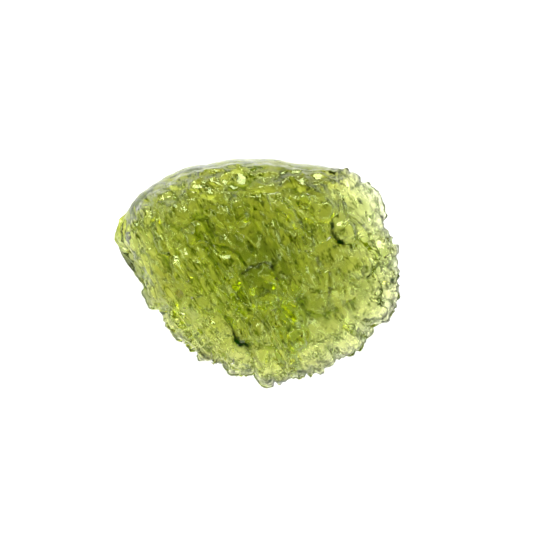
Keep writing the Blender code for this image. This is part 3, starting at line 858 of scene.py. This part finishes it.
class Shading:
    """A material's nodes, with short ways to add them. Each gives the output of its last node."""

    def __init__(self, material):
        self.nodes, self.links = material.node_tree.nodes, material.node_tree.links
        self.place = self.nodes.new("ShaderNodeTexCoord").outputs["Object"]

    def held(self, attribute):
        """A value that the mesh holds."""
        node = self.nodes.new("ShaderNodeAttribute")
        node.attribute_name = attribute
        return node.outputs["Fac"]

    def worked(self, kind, first, second):
        """One step of arithmetic. A product is held between 0 and 1."""
        node = self.nodes.new("ShaderNodeMath")
        node.operation = kind
        node.use_clamp = kind == "MULTIPLY"
        for socket, value in zip(node.inputs, (first, second)):
            if isinstance(value, float):
                socket.default_value = value
            else:
                self.links.new(value, socket)
        return node.outputs["Value"]

    def between(self, value, source, target=(0.0, 1.0), kind="LINEAR"):
        """A value's range turned into another one, and held inside it."""
        node = self.nodes.new("ShaderNodeMapRange")
        node.interpolation_type = kind
        node.inputs["From Min"].default_value, node.inputs["From Max"].default_value = source
        node.inputs["To Min"].default_value, node.inputs["To Max"].default_value = target
        self.links.new(value, node.inputs["Value"])
        return node.outputs["Result"]

    def mixed(self, mask, below, colour, blend="MIX"):
        """A colour laid over the one below, or multiplied into it, where the mask is 1."""
        node = self.nodes.new("ShaderNodeMix")
        node.data_type = "RGBA"
        node.blend_type = blend
        self.links.new(mask, node.inputs["Factor"])
        self.links.new(below, node.inputs[MIX_BELOW])
        node.inputs[MIX_ON_TOP].default_value = colour
        return node.outputs[MIX_RESULT]

    def speckle(self, vector, scale, detail, distortion=0.0):
        """Noise, from 0 to 1."""
        node = self.nodes.new("ShaderNodeTexNoise")
        node.inputs["Scale"].default_value = scale
        node.inputs["Detail"].default_value = detail
        node.inputs["Roughness"].default_value = NOISE_ROUGHNESS
        node.inputs["Distortion"].default_value = distortion
        self.links.new(vector, node.inputs["Vector"])
        return node.outputs["Fac"]

    def patches(self, size, detail):
        """Noise in patches of this size in mm."""
        return self.speckle(self.place, 1 / (size * MM), detail)

    def thin_lines(self, size, shift, width):
        """1 on winding lines along the flow, where a noise crosses its middle, and 0 beside them."""
        flow = self.nodes.new("ShaderNodeMapping")
        flow.vector_type = "TEXTURE"
        flow.inputs["Location"].default_value = (shift, shift, 0)
        flow.inputs["Rotation"].default_value = (0, 0, FLOW_ANGLE)
        flow.inputs["Scale"].default_value = [length * MM for length in size]
        self.links.new(self.place, flow.inputs["Vector"])
        field = self.speckle(flow.outputs["Vector"], scale=1.0, detail=2, distortion=LINE_WINDING)
        away = self.worked("ABSOLUTE", self.worked("SUBTRACT", field, 0.5), 0.0)
        return self.between(away, (0.0, width), (1.0, 0.0), "SMOOTHSTEP")


def flow_lines(shading):
    """Broken lines along the flow, on the upper side."""
    gaps = shading.between(shading.patches(LINE_GAP_SIZE, detail=2), LINE_GAP_RANGE)
    lines = shading.worked("MAXIMUM", *(shading.thin_lines(*kind) for kind in FLOW_LINES))
    kept = shading.worked("MULTIPLY", gaps, shading.held("upper"))
    return shading.worked("MULTIPLY", lines, kept)


def tint_shade_and_marks(shading, lines):
    """Painted shade in the hollows and along the lines and painted light on the heights, then the shade
    ovals, the smooth band's painted shade, the fleck and the dark marks over it.
    """
    # Painted shade in the hollows and painted light on the heights, from the relief
    ramp = shading.nodes.new("ShaderNodeValToRGB")
    low, high = ramp.color_ramp.elements
    low.position, high.position = TINT_RANGE
    low.color, high.color = HOLLOW_SHADE_TINT, HEIGHT_LIGHT_TINT
    shading.links.new(shading.held("relief"), ramp.inputs["Fac"])
    # Painted shade along the scored flow lines
    tint = shading.mixed(lines, ramp.outputs["Color"], LINE_SHADE_TINT, "MULTIPLY")
    # Painted shade in the ovals
    tint = shading.mixed(shading.held("shade_ovals"), tint, SHADE_OVAL_TINT, "MULTIPLY")
    # Painted shade on the smooth band
    tint = shading.mixed(shading.held("band_shade"), tint, BAND_SHADE_TINT)
    tint = shading.mixed(shading.held("fleck"), tint, FLECK_TINT)
    # Dark marks along the cracks and the ragged rim
    return shading.mixed(shading.held("dark_marks"), tint, DARK_MARK_TINT)


def surface_bumps(shading, lines):
    """Scored lines and a fine grain on the upper side, and none on its small level faces."""
    bump = shading.nodes.new("ShaderNodeBump")
    bump.inputs["Distance"].default_value = BUMP_DEPTH * MM
    where = shading.worked("SUBTRACT", shading.held("upper"), shading.held("calm"))
    strength = shading.worked("MULTIPLY", where, BUMP_STRENGTH)
    shading.links.new(strength, bump.inputs["Strength"])
    scores = shading.worked("MULTIPLY", lines, SCORE_SHARE)
    grain = shading.patches(BUMP_GRAIN_SIZE, detail=3)
    grain = shading.worked("MULTIPLY", grain, BUMP_GRAIN_SHARE)
    shading.links.new(shading.worked("SUBTRACT", grain, scores), bump.inputs["Height"])
    return bump.outputs["Normal"]


def glass_material():
    """Clear green glass, its surface tinted with painted shade and light and with dark marks, finely
    scored and a little duller in patches.
    """
    material = bpy.data.materials.new("moldavite_glass")
    material.use_nodes = True
    shading = Shading(material)
    shader = shading.nodes["Principled BSDF"]
    shader.inputs["Transmission Weight"].default_value = 1.0
    shader.inputs["IOR"].default_value = GLASS_IOR
    shader.inputs["Specular Tint"].default_value = GLASS_REFLECTION
    lines = flow_lines(shading)
    patches = shading.patches(ROUGH_PATCH_SIZE, detail=3)
    dullness = shading.between(patches, ROUGH_PATCH_RANGE, ROUGHNESS)
    shading.links.new(tint_shade_and_marks(shading, lines), shader.inputs["Base Color"])
    shading.links.new(dullness, shader.inputs["Roughness"])
    shading.links.new(surface_bumps(shading, lines), shader.inputs["Normal"])
    volume = shading.nodes.new("ShaderNodeVolumeAbsorption")
    volume.inputs["Density"].default_value = GLASS_DENSITY
    volume.inputs["Color"].default_value = GLASS_COLOUR
    shading.links.new(volume.outputs["Volume"], shading.nodes["Material Output"].inputs["Volume"])
    return material


def make_stone():
    """The stone in its place, in clear green glass."""
    stone = bpy.data.objects.new("moldavite_glass", stone_mesh())
    bpy.context.scene.collection.objects.link(stone)
    stone.data.materials.append(glass_material())
    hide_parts("moldavite")
    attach(stone, "root")


def floor_material():
    """A pale matt surface that glows a little, so that it looks evenly lit."""
    material = bpy.data.materials.new("pale_floor")
    material.use_nodes = True
    shader = material.node_tree.nodes["Principled BSDF"]
    shader.inputs["Base Color"].default_value = FLOOR_COLOUR
    shader.inputs["Roughness"].default_value = FLOOR_ROUGHNESS
    shader.inputs["Specular IOR Level"].default_value = 0.0
    shader.inputs["Emission Color"].default_value = (1, 1, 1, 1)
    shader.inputs["Emission Strength"].default_value = FLOOR_GLOW
    return material


def make_floor():
    """A square floor just under the stone."""
    mesh = bpy.data.meshes.new("floor")
    corners = [
        (along * FLOOR_REACH, across * FLOOR_REACH, FLOOR_LEVEL)
        for along, across in [(-1, -1), (1, -1), (1, 1), (-1, 1)]
    ]
    mesh.from_pydata(corners, [], [(0, 1, 2, 3)])
    mesh.materials.append(floor_material())
    floor = bpy.data.objects.new("floor", mesh)
    bpy.context.scene.collection.objects.link(floor)


def panel_light(azimuth, elevation, width, height, brightness):
    """One soft panel that faces the middle of the scene and isn't seen itself."""
    turn, lift = math.radians(azimuth), math.radians(elevation)
    away = Vector((math.cos(turn) * math.cos(lift), math.sin(turn) * math.cos(lift), math.sin(lift)))
    light = bpy.data.lights.new(f"panel_{azimuth}", "AREA")
    light.shape = "RECTANGLE"
    light.size, light.size_y = width, height
    light.energy = PANEL_LIGHT * brightness * math.pi * width * height
    lamp = bpy.data.objects.new(light.name, light)
    lamp.location = away * PANEL_DISTANCE
    lamp.rotation_euler = away.to_track_quat("Z", "Y").to_euler()
    lamp.visible_camera = False
    bpy.context.scene.collection.objects.link(lamp)


def make_lights():
    """A dim white studio with a ring of soft panels."""
    world = bpy.data.worlds.new("studio")
    bpy.context.scene.world = world
    world.use_nodes = True
    background = world.node_tree.nodes["Background"]
    background.inputs["Color"].default_value = (1.0, 1.0, 1.0, 1)
    background.inputs["Strength"].default_value = WORLD_LIGHT
    for panel in PANELS:
        panel_light(*panel)


def make_camera():
    """The camera over the stone, at the photo's angle and scale."""
    camera = bpy.data.objects.new("camera", bpy.data.cameras.new("camera"))
    bpy.context.scene.collection.objects.link(camera)
    bpy.context.scene.camera = camera
    camera.data.lens = CAMERA_LENS
    camera.data.sensor_width = CAMERA_SENSOR
    height = VIEW_HEIGHT * MM + VIEW_WIDTH * MM * CAMERA_LENS / CAMERA_SENSOR
    camera.location = (CAMERA_OVER[0] * MM, CAMERA_OVER[1] * MM, height)
    camera.data.clip_start, camera.data.clip_end = CAMERA_RANGE


make_camera()
make_stone()
make_floor()
make_lights()
bpy.context.scene.view_settings.view_transform = "Standard"
